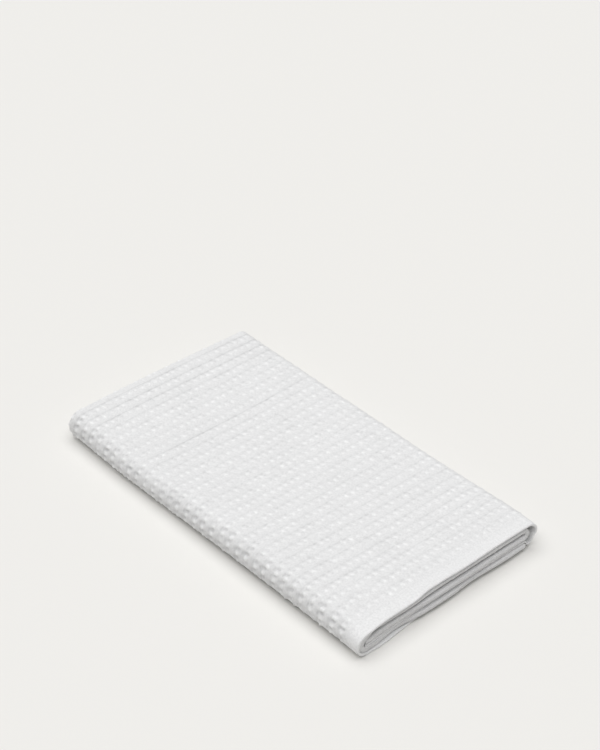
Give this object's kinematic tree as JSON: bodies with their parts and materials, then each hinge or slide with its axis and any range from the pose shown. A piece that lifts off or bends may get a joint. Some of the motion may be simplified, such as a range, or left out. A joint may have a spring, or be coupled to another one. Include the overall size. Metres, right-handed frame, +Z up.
{
  "type": "bath towel",
  "caption": "Waffle-weave bath towel folded flat into a neat oblong pad, with a plain hem and the edges of its layers showing at one short end.",
  "frame": {"origin": "centre of the bounding box seen from above, on the surface the towel lies on", "axes": "+X along the length, towards the open end with the hem; +Y across the width, towards the side with the loose loop; +Z up"},
  "size_m": [0.4622, 0.253, 0.0347],
  "materials": {
    "cotton_waffle": "soft matt white cotton with a raised waffle weave and a plain woven hem"
  },
  "bodies": {
    "root": {"towel_cloth": "cotton_waffle"}
  },
  "joints": []
}
